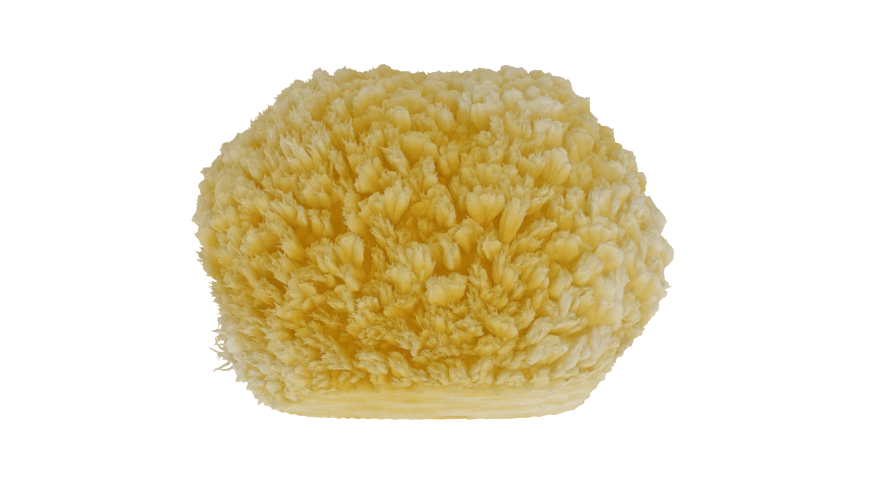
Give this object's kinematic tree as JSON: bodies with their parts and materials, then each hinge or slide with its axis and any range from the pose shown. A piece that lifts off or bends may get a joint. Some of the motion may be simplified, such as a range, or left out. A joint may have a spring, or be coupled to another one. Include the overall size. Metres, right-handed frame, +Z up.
{
  "type": "sea sponge",
  "caption": "Dry natural wool sponge: a rounded tufted body, wider than high, with a trimmed flat base to rest on.",
  "frame": {"origin": "on the flat base's plane, under the middle of the sponge's box", "axes": "+X across the sponge's longest side, to the right seen from the front; -Y to the front; +Z up from the base"},
  "size_m": [0.142, 0.1148, 0.0983],
  "materials": {
    "sponge_fibre": "dull dry fibre, ochre in the hollows and pale cream at the tuft tips"
  },
  "bodies": {
    "root": {"sponge": "sponge_fibre"}
  },
  "joints": []
}
